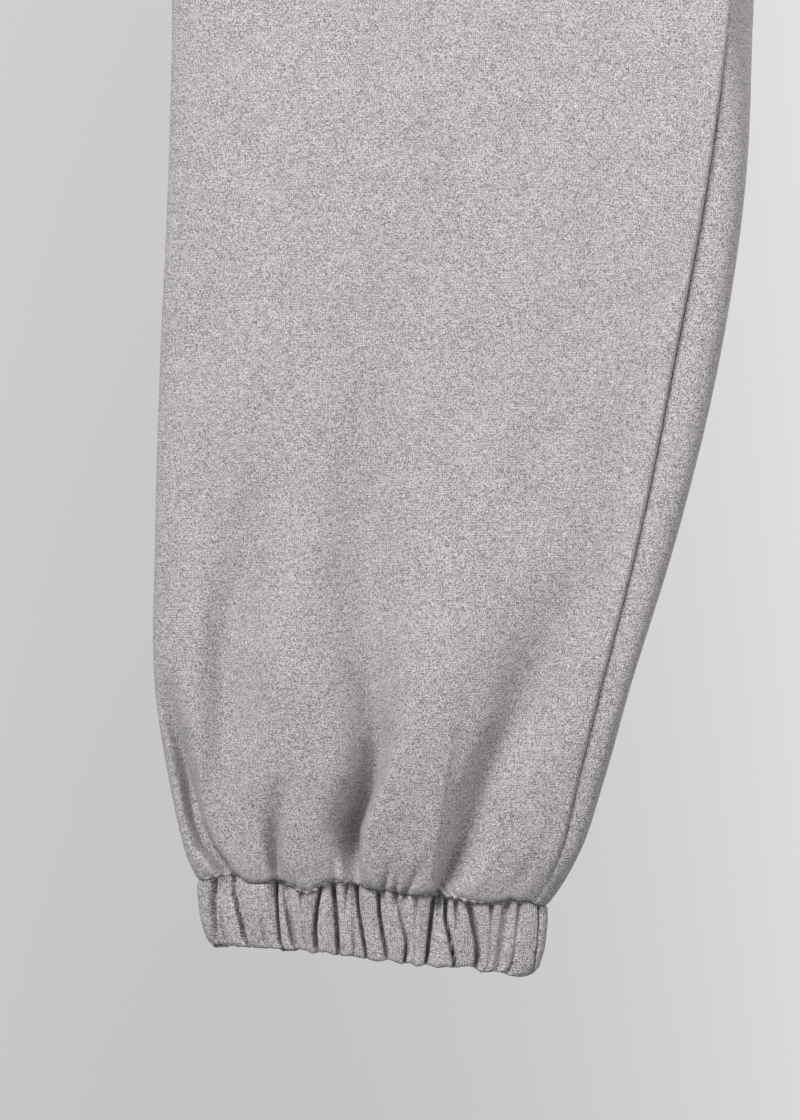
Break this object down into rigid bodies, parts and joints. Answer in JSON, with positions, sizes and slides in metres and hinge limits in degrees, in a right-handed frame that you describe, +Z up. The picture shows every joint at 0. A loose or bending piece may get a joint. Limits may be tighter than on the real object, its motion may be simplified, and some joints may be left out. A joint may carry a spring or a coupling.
{
  "type": "jogger sweatpants",
  "caption": "Hanging heather-grey knit jogger sweatpants: wide legs gathered into elastic cuffs, elastic waistband, open at waist and cuffs.",
  "frame": {"origin": "centre of the waistband's top edge, where the garment is held", "axes": "+Z up along the hanging garment, -Y towards the wearer's front, -X towards the wearer's right leg"},
  "size_m": [0.5458, 0.078, 1.0161],
  "materials": {
    "leg_knit": "heather-grey heavy loopback cotton knit, matt",
    "band_knit": "the same knit, folded over elastic and gathered, matt"
  },
  "bodies": {
    "root": {"front_leg_right": "leg_knit", "front_leg_left": "leg_knit", "back_leg_right": "leg_knit", "back_leg_left": "leg_knit", "cuff_right": "band_knit", "cuff_left": "band_knit", "waistband": "band_knit"}
  },
  "joints": []
}
